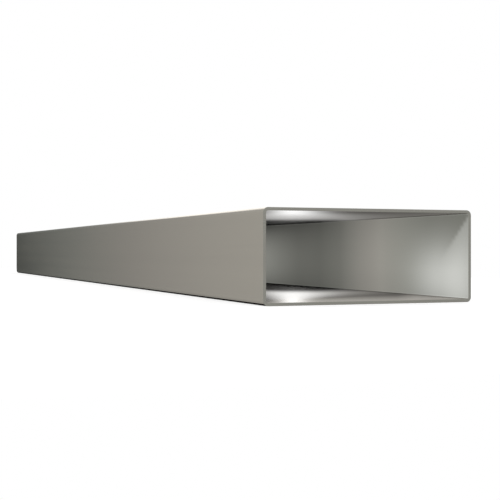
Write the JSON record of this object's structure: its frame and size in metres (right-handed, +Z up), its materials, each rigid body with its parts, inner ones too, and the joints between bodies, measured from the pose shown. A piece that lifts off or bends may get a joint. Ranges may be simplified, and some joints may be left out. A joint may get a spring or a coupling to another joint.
{
  "type": "flat channel duct",
  "caption": "Straight length of flat rectangular duct, a hollow channel with rounded corners and square-cut open ends, that carries ventilation air between connectors.",
  "frame": {"origin": "middle of the wide outer face that the duct rests on", "axes": "+Y along the duct's length, with the end that the picture looks into at -Y; +X across its width; +Z up, through its height"},
  "size_m": [0.22, 1.5, 0.09],
  "materials": {
    "satin_metal": "satin anodised, warm mid grey"
  },
  "bodies": {
    "root": {"flat_channel": "satin_metal"}
  },
  "joints": []
}
